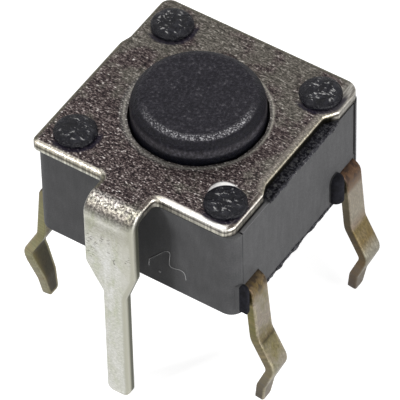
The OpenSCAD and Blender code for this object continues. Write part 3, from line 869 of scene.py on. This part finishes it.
def rivet_finish():
    """Resin of the rivet heads, melted glossy, with painted glints on top and painted shade round their edge"""
    f = Finish("melted resin")
    place = f.place()
    x, y, _ = f.axes(place)
    lumps = f.noise(place, 3.6, 4, 0.65, 1.2)
    streaks = f.noise(f.place((5, 11, 6)), 1, 2, 0.6, 0.6)
    from_post = f.length(abs(x) - POST_X, abs(y) - POST_Y)
    # Painted glints on the tops, and painted shade towards each head's edge
    glints = f.fade(streaks, 0.57, 0.62) * f.fade(lumps, 0.46, 0.54) * f.fade(from_post, 0.47, 0.4)
    colour = f.mix(f.fade(from_post, 0.44, 0.52, 0, 0.7), f.bands(lumps, RIVET_LUMPS), rgb(10, 9, 16))
    colour = f.mix(glints * 0.8, colour, rgb(186, 185, 184))
    return f.set(Base_Color=colour, Roughness=f.fade(lumps, 0.35, 0.65, 0.16, 0.36), Specular_IOR_Level=0.16,
                 Normal=f.bump(f.noise(place, 22, 2, 0.6), 0.01, 0.5, f.bump(lumps, 0.09, 1)))


SPRING_BRUSHED = [(0.3, 168, 168, 170), (0.5, 186, 187, 190), (0.7, 205, 206, 208)]


def spring_finish():
    """Spring steel of the snap dome, brushed from front to back"""
    f = Finish("spring steel")
    worn = f.noise(f.place(), 6, 3, 0.6)
    brushed = f.noise(f.place((30, 4, 4)), 1, 2, 0.5)
    return f.set(Base_Color=f.bands(brushed, SPRING_BRUSHED), Metallic=1,
                 Roughness=f.fade(worn, 0.3, 0.7, 0.22, 0.34), Normal=f.bump(brushed, 0.003, 0.4))


FLASH_LUMPS = [(0.3, 8, 8, 14), (0.45, 20, 20, 27), (0.55, 44, 44, 50), (0.68, 88, 87, 90)]


def flash_finish():
    """Dark glossy resin that was squeezed out in the cover's notch and at the lower edge"""
    f = Finish("resin flash")
    place = f.place()
    lumps = f.noise(place, 8, 4, 0.7, 0.8)
    fine = f.noise(place, 24, 2, 0.6)
    specks = f.fade(fine, 0.6, 0.68, 0, 0.6) * f.fade(lumps, 0.48, 0.58)
    return f.set(Base_Color=f.mix(specks, f.bands(lumps, FLASH_LUMPS), rgb(176, 174, 172)),
                 Roughness=f.fade(lumps, 0.35, 0.65, 0.25, 0.5), Specular_IOR_Level=0.2,
                 Normal=f.bump(fine, 0.012, 0.6, f.bump(lumps, 0.06, 0.9)))


FIBRE = [(0.3, 120, 120, 120), (0.7, 170, 170, 170)]


def fibre_finish():
    """Pale lint"""
    f = Finish("pale fibre")
    shade = f.noise(f.place(), 6, 2)
    return f.set(Base_Color=f.bands(shade, FIBRE), Roughness=0.6, Normal=f.bump(shade, 0.004, 0.4))


# The pressed cover with its ground terminal

def cover_place(x, y, height):
    point, angle = follow(TAB_BENDS, -y)
    point += left_of(angle) * (height - SHEET_T / 2)
    return x, -point.x, HOUSING_H + SHEET_T / 2 + point.y


def make_cover():
    """Cover and ground terminal as one blank, bent down at the tab"""
    notch_x = COVER_RIGHT_X - NOTCH_DEPTH
    step_x = STEP_DEPTH - COVER_X
    step_y = COVER_Y - STEP_BACK_LAND
    tab_l = TAB_X - TAB_W / 2
    tab_r = TAB_X + TAB_W / 2
    run, turn, radius = TAB_BENDS[0]
    bend_foot_z = HOUSING_H - TAB_BEND_R

    def below(z):
        return -(run + math.radians(-turn) * radius + bend_foot_z - z)

    taper_end = TAPER_TOP_Z - TAPER_H
    corners = [
        (FRONT_LAND_X, FRONT_RIGHT_Y, CORNER_R),
        (FRONT_LAND_X, NOTCH_FRONT_Y, NOTCH_MOUTH_R),
        (notch_x, NOTCH_FRONT_Y + NOTCH_SLANT, NOTCH_FOOT_R),
        (notch_x, NOTCH_BACK_Y - NOTCH_SLANT, NOTCH_FOOT_R),
        (COVER_RIGHT_X, NOTCH_BACK_Y, NOTCH_MOUTH_R),
        (COVER_RIGHT_X, COVER_Y, SOFT_CORNER_R),
        (step_x, COVER_Y, CORNER_R),
        (step_x, step_y + STEP_RUN, STEP_RUN),
        (-COVER_X, step_y, STEP_RUN),
        (-COVER_X, -COVER_Y, SHARP_CORNER_R),
        (tab_l, -COVER_Y, TAB_FILLET_R),
        (tab_l, below(TAPER_TOP_Z), SHOULDER_R),
        (-PIN_W / 2, below(taper_end), FOOT_R),
        (-PIN_W / 2, below(-GROUND_REACH), TIP_R),
        (PIN_W / 2, below(-GROUND_REACH), TIP_R),
        (PIN_W / 2, below(taper_end), FOOT_R),
        (tab_r, below(TAPER_TOP_Z), SHOULDER_R),
        (tab_r, FRONT_RIGHT_Y, TAB_FILLET_R),
    ]
    holes = [(0, 0, STEM_HOLE_R)] + [(x, y, POST_HOLE_R) for x, y in POSTS]
    rolls = (UNDER_ROLL, EDGE_ROLL)
    piece = stamped_sheet("cover_sheet", corners, holes, SHEET_T, rolls, COVER_SPACING, cover_place)
    piece.data.materials.append(plated_sheet_finish())
    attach(piece, "base")
    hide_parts("cover_plate")


# The two contact strips with their kinked terminals

def strip_place(x, y, height):
    point, angle = follow(TERMINAL_BENDS, abs(x))
    point += left_of(angle) * (height - STRIP_T / 2)
    return math.copysign(point.x, x), y, STRIP_MID_Z + point.y


def strip_corners(row_y, arms):
    """Blank of a strip: a bar along its row with a terminal at each end, and arms to the dome"""
    length = sum(run + abs(math.radians(turn)) * radius for run, turn, radius in TERMINAL_BENDS) + TERMINAL_END
    waist = length - TIP_TAPER_L
    side = 1 if row_y < 0 else -1
    outer = row_y - side * TERMINAL_W / 2
    inner = row_y + side * TERMINAL_W / 2
    tip_outer = row_y - side * TIP_W / 2
    tip_inner = row_y + side * TIP_W / 2
    corners = [(-waist, inner, 0), (-length, tip_inner, TERMINAL_TIP_R), (-length, tip_outer, TERMINAL_TIP_R),
               (-waist, outer, 0), (waist, outer, 0), (length, tip_outer, TERMINAL_TIP_R),
               (length, tip_inner, TERMINAL_TIP_R), (waist, inner, 0)]
    for x in sorted(arms, reverse=True):
        end = side * ARM_W / 2
        corners += [(x + ARM_W / 2, inner, ARM_R), (x + ARM_W / 2, end, ARM_R),
                    (x - ARM_W / 2, end, ARM_R), (x - ARM_W / 2, inner, ARM_R)]
    return corners if side > 0 else [corners[0]] + corners[:0:-1]


def add_pad(piece, x, top_z):
    """Embossed contact pad on an arm"""
    edge = PART_EDGE_R
    profile = [(0, STRIP_MID_Z), (PAD_R, STRIP_MID_Z)] + arc(PAD_R - edge, top_z - edge, edge, 0, 90, 4)
    pad = turned("pad", profile + [(0, top_z)], 40)
    pad.data.transform(Matrix.Translation((x * MM, 0, 0)))
    with edited(piece.data) as work:
        work.from_mesh(pad.data)
    bpy.data.objects.remove(pad)


def make_strip(name, node, row_y, pads, finish):
    corners = strip_corners(row_y, [x for x, top_z in pads])
    rolls = (UNDER_ROLL, STRIP_ROLL)
    piece = stamped_sheet(name, corners, [], STRIP_T, rolls, STRIP_SPACING, strip_place)
    for x, top_z in pads:
        add_pad(piece, x, top_z)
    piece.data.materials.append(finish)
    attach(piece, "base")
    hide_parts(node)


# The button

def make_button():
    under = FLANGE_TOP_Z - FLANGE_T
    edge = PART_EDGE_R
    profile = [(0, NUB_Z), (NUB_R - NUB_CHAMFER, NUB_Z), (NUB_R, NUB_Z + NUB_CHAMFER), (NUB_R, under)]
    profile += arc(FLANGE_R - edge, under + edge, edge, -90, 0, 4)
    profile += arc(FLANGE_R - edge, FLANGE_TOP_Z - edge, edge, 0, 90, 4)
    profile += [(STEM_R, z) for z in (FLANGE_TOP_Z, 3.0, 3.25)]
    profile += arc(STEM_R - BUTTON_EDGE_R, BUTTON_TOP_Z - BUTTON_EDGE_R, BUTTON_EDGE_R, 0, 90, 10)
    profile += [(r, BUTTON_TOP_Z) for r in (1.2, 0.8, 0.4, 0)]
    piece = turned("push_button", profile)
    piece.data.materials.append(button_finish())
    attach(piece, "button")
    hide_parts("plunger")


# The snap dome, built at rest; the real one flattens as the button goes down

def make_dome():
    sphere_r = (DOME_R ** 2 + DOME_RISE ** 2) / (2 * DOME_RISE)
    centre_z = FLOOR_T + DOME_RISE - sphere_r
    opening = math.degrees(math.asin(DOME_R / sphere_r))
    outer_r = sphere_r + DOME_T
    outer_opening = math.degrees(math.asin(DOME_R / outer_r))
    profile = arc(0, centre_z, sphere_r, 90, 90 - opening, 24)
    profile += arc(0, centre_z, outer_r, 90 - outer_opening, 90, 24)
    profile[0] = (0, profile[0][1])
    profile[-1] = (0, profile[-1][1])
    piece = turned("snap_disc", profile)
    piece.data.materials.append(spring_finish())
    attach(piece, "base")
    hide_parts("snap_dome")
    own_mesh(piece)


# Rivet heads and resin that was squeezed out, made by geometry nodes

class Growth(Nodes):
    """A geometry node tree with named inputs"""

    def __init__(self, name, values):
        super().__init__(bpy.data.node_groups.new(name, "GeometryNodeTree"))
        face = self.tree.interface
        face.new_socket("Geometry", in_out="INPUT", socket_type="NodeSocketGeometry")
        face.new_socket("Geometry", in_out="OUTPUT", socket_type="NodeSocketGeometry")
        self.values = values
        self.identifiers = {}
        for label, value in values.items():
            kind = "NodeSocketInt" if isinstance(value, int) else "NodeSocketFloat"
            socket = face.new_socket(label, in_out="INPUT", socket_type=kind)
            self.identifiers[label] = socket.identifier
        self.start = self.tree.nodes.new("NodeGroupInput").outputs
        self.end = self.tree.nodes.new("NodeGroupOutput").inputs[0]

    def given(self, label):
        return Value(self, self.start[label])

    def lumpy(self, shape, per_metre, roughness, reach):
        """The shape with its surface pushed in and out by noise"""
        spot = self.get("GeometryNodeInputPosition")
        inputs = {"Vector": spot, "Scale": per_metre, "Detail": 3.0, "Roughness": roughness, "W": self.given("Seed")}
        lump = self.get("ShaderNodeTexNoise", inputs, noise_dimensions="4D")
        push = (lump - 0.5) * (self.given("Lump height") * reach)
        offset = self.get("ShaderNodeVectorMath", {0: self.get("GeometryNodeInputNormal"), "Scale": push},
                          operation="SCALE")
        return self.get("GeometryNodeSetPosition", {"Geometry": shape, "Offset": offset})

    def grown(self, name, base_mesh, shape, material):
        """The plain mesh object that the tree makes from a base mesh"""
        real = self.get("GeometryNodeRealizeInstances", {0: shape})
        coated = self.get("GeometryNodeSetMaterial", {"Geometry": real, "Material": material})
        self.put(self.end, coated)
        seedling = placed(name + "_base", base_mesh)
        modifier = seedling.modifiers.new("growth", "NODES")
        modifier.node_group = self.tree
        for label, value in self.values.items():
            modifier[self.identifiers[label]] = value
        mesh = plain_mesh(seedling)
        mesh.name = name
        mesh.shade_smooth()
        return placed(name, mesh)


def make_rivet_heads():
    """Four flattened heads with melted, uneven tops"""
    base = bpy.data.meshes.new("post_points")
    base.from_pydata([Vector((x, y, HOUSING_H + SHEET_T)) * MM for x, y in POSTS], [], [])
    g = Growth("melted rivet heads", {"Head radius": (HEAD_R + MELT) * MM, "Head height": (HEAD_H + MELT) * MM,
                                      "Lump height": HEAD_LUMP_H * MM, "Seed": 7})
    ball = g.get("GeometryNodeMeshIcoSphere", {"Radius": 1.0, "Subdivisions": 5})
    x, y, z = g.axes(g.get("GeometryNodeInputPosition"))
    flattened = g.math("POWER", abs(z), 0.5) * g.sign(z)
    flat = g.get("ShaderNodeCombineXYZ", {0: x, 1: y, 2: flattened})
    ball = g.get("GeometryNodeSetPosition", {"Geometry": ball, "Position": flat})
    size = g.get("ShaderNodeCombineXYZ", {0: g.given("Head radius"), 1: g.given("Head radius"),
                                          2: g.given("Head height")})
    heads = g.get("GeometryNodeInstanceOnPoints", {"Points": g.given("Geometry"), "Instance": ball, "Scale": size})
    heads = g.lumpy(g.get("GeometryNodeRealizeInstances", {0: heads}), HEAD_LUMPS_PER_M, 0.6, 2.0)
    piece = g.grown("rivet_heads", base, heads, rivet_finish())
    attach(piece, "base")


def make_flash(name, points, lump_size, seed):
    """Uneven bead of resin along a line of points"""
    base = bpy.data.meshes.new(name + "_line")
    base.from_pydata([Vector(p) * MM for p in points], [(k, k + 1) for k in range(len(points) - 1)], [])
    g = Growth(name, {"Bead radius": BEAD_R * MM, "Lump height": BEAD_LUMP_H * MM,
                      "Lumps per metre": 1000 / lump_size, "Seed": seed})
    line = g.get("GeometryNodeMeshToCurve", {"Mesh": g.given("Geometry")})
    ring = g.get("GeometryNodeCurvePrimitiveCircle", {"Resolution": 16, "Radius": g.given("Bead radius")})
    bead = g.get("GeometryNodeCurveToMesh", {"Curve": line, "Profile Curve": ring, "Fill Caps": True})
    piece = g.grown(name, base, g.lumpy(bead, g.given("Lumps per metre"), 0.65, 2.6), flash_finish())
    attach(piece, "base")


def make_notch_flash():
    """Resin along the ledge that the cover's notch leaves bare"""
    front = NOTCH_FRONT_Y + 0.1
    back = NOTCH_BACK_Y - 0.12
    points = [(SIDE_X - 0.03, front + (back - front) * k / 120, HOUSING_H - 0.015) for k in range(121)]
    make_flash("notch_flash", points, 0.2, 3)


def make_parting_burr():
    """Thin ragged burr along the right lower edge of the moulding"""
    points = [(SIDE_X - 0.035, -1.95 + 3.9 * k / 160, 0.055) for k in range(161)]
    make_flash("parting_burr", points, 0.5, 11)


def make_lint():
    """Fine fibre and a speck of dust on the front face"""
    face_y = -HOUSING_D / 2 - 0.006
    places = [(0.41, 0.49), (0.4, 0.7), (0.49, 0.81), (0.72, 1.08), (0.96, 1.37), (1.08, 1.36), (1.05, 1.1),
              (1.03, 0.82), (1.18, 0.81), (1.38, 0.89), (1.53, 0.83), (1.54, 0.59)]
    curve = bpy.data.curves.new("fibre", "CURVE")
    curve.dimensions = "3D"
    curve.bevel_depth = FIBRE_R * MM
    curve.bevel_resolution = 2
    curve.resolution_u = 6
    line = curve.splines.new("NURBS")
    line.points.add(len(places) - 1)
    for point, (x, z) in zip(line.points, places):
        point.co = (x * MM, face_y * MM, z * MM, 1)
    line.order_u = 3
    line.use_endpoint_u = True
    mesh = plain_mesh(placed("fibre", curve))
    speck = Matrix.Translation(Vector((0.74, face_y, 0.43)) * MM)
    speck = speck @ Matrix.Diagonal((0.035 * MM, 0.012 * MM, 0.028 * MM, 1))
    with edited(mesh) as work:
        bmesh.ops.create_icosphere(work, subdivisions=2, radius=1, matrix=speck)
    piece = finished("lint", mesh)
    piece.data.materials.append(fibre_finish())
    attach(piece, "base")


# Floor, light and camera

FLOOR = [(0.3, 197, 197, 197), (0.7, 203, 203, 203)]
FLOOR_HALF = 0.6
FLOOR_SEEN = 0.8
WORLD_FILL = 0.05


def make_floor():
    """Pale floor under the ground terminal, lifted to white where it is seen"""
    level = -GROUND_REACH * MM
    mesh = bpy.data.meshes.new("studio_floor")
    mesh.from_pydata([(x * FLOOR_HALF, y * FLOOR_HALF, level) for x, y in ((-1, -1), (1, -1), (1, 1), (-1, 1))],
                     [], [(0, 1, 2, 3)])
    floor = placed("studio_floor", mesh)
    f = Finish("pale floor")
    grain = f.noise(f.get("ShaderNodeTexCoord", output="Object"), 40.0, 2.0)
    f.set(Base_Color=f.bands(grain, FLOOR), Roughness=0.9, Specular_IOR_Level=0.1,
          Emission_Color=(1, 1, 1, 1), Emission_Strength=f.seen() * FLOOR_SEEN)
    mesh.materials.append(f.material)


def make_world():
    """Faint fill light, white where it is seen"""
    world = bpy.data.worlds.new("studio")
    world.use_nodes = True
    world.node_tree.nodes.clear()
    n = Nodes(world.node_tree)
    fill = n.get("ShaderNodeBackground", {"Color": (1, 1, 1, 1), "Strength": WORLD_FILL})
    white = n.get("ShaderNodeBackground", {"Color": (1, 1, 1, 1), "Strength": 1.0})
    choice = n.get("ShaderNodeMixShader", {0: n.seen(), 1: fill, 2: white})
    n.add("ShaderNodeOutputWorld", {"Surface": choice})
    bpy.context.scene.world = world


def add_lamp(name, direction, distance, size, level):
    """Square soft light. At level 1 a white surface that faces it renders white."""
    lamp = bpy.data.lights.new(name, "AREA")
    lamp.shape = "SQUARE"
    lamp.size = size
    lamp.energy = level * math.pi ** 2 * distance ** 2
    toward = Vector(direction).normalized()
    lamp_object = placed(name, lamp)
    lamp_object.location = toward * distance
    lamp_object.rotation_euler = toward.to_track_quat("Z", "Y").to_euler()


def make_camera():
    """Camera at the photograph's view, worked out from four corners of the cover and the housing"""
    azimuth = math.radians(34.373)
    elevation = math.radians(48.092)
    roll = math.radians(-1.448)
    focal_px = 5002.4
    px_per_mm = 38.553
    origin_px = Vector((200.767, 202.069))
    frame_px = 400
    lift_mm = -0.19
    distance = focal_px / px_per_mm
    back = Vector((math.sin(azimuth) * math.cos(elevation), -math.cos(azimuth) * math.cos(elevation),
                   math.sin(elevation)))
    right = Vector((math.cos(azimuth), math.sin(azimuth), 0))
    up = back.cross(right)
    level_right = math.cos(roll) * right + math.sin(roll) * up
    level_up = -math.sin(roll) * right + math.cos(roll) * up
    aside = (origin_px.x - frame_px / 2) / focal_px * distance
    above = -(origin_px.y - frame_px / 2) / focal_px * distance
    place = distance * back - aside * level_right - above * level_up + Vector((0, 0, lift_mm))
    camera = bpy.data.cameras.new("photo view")
    camera.sensor_width = 36
    camera.sensor_fit = "HORIZONTAL"
    camera.lens = camera.sensor_width * focal_px / frame_px
    camera.clip_start = 0.005
    camera.clip_end = 5
    camera_object = placed("photo view", camera)
    turn = Matrix((level_right, level_up, back)).transposed().to_4x4()
    camera_object.matrix_world = Matrix.Translation(place * MM) @ turn
    bpy.context.scene.camera = camera_object


make_camera()
make_world()
make_floor()
add_lamp("key", (-0.45, -0.78, 0.62), 0.12, 0.028, 0.70)
add_lamp("right fill", (0.94, -0.10, 0.30), 0.12, 0.080, 1.1)
add_lamp("top fill", (-0.15, 0.05, 1.0), 0.14, 0.070, 0.20)

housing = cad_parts["housing"]
housing.data.materials.clear()
housing.data.materials.append(moulding_finish())

terminal_metal = terminal_finish()
make_cover()
make_strip("front_contact_strip", "centre_contact_strip", -ROW_Y, [(0, DOT_TOP_Z)], terminal_metal)
make_strip("rear_contact_strip", "common_contact_strip", ROW_Y,
           [(-SIDE_PAD_X, PAD_TOP_Z), (SIDE_PAD_X, PAD_TOP_Z)], terminal_metal)
make_button()
make_dome()
make_rivet_heads()
make_notch_flash()
make_parting_burr()
make_lint()

bpy.context.scene.view_settings.view_transform = "Standard"
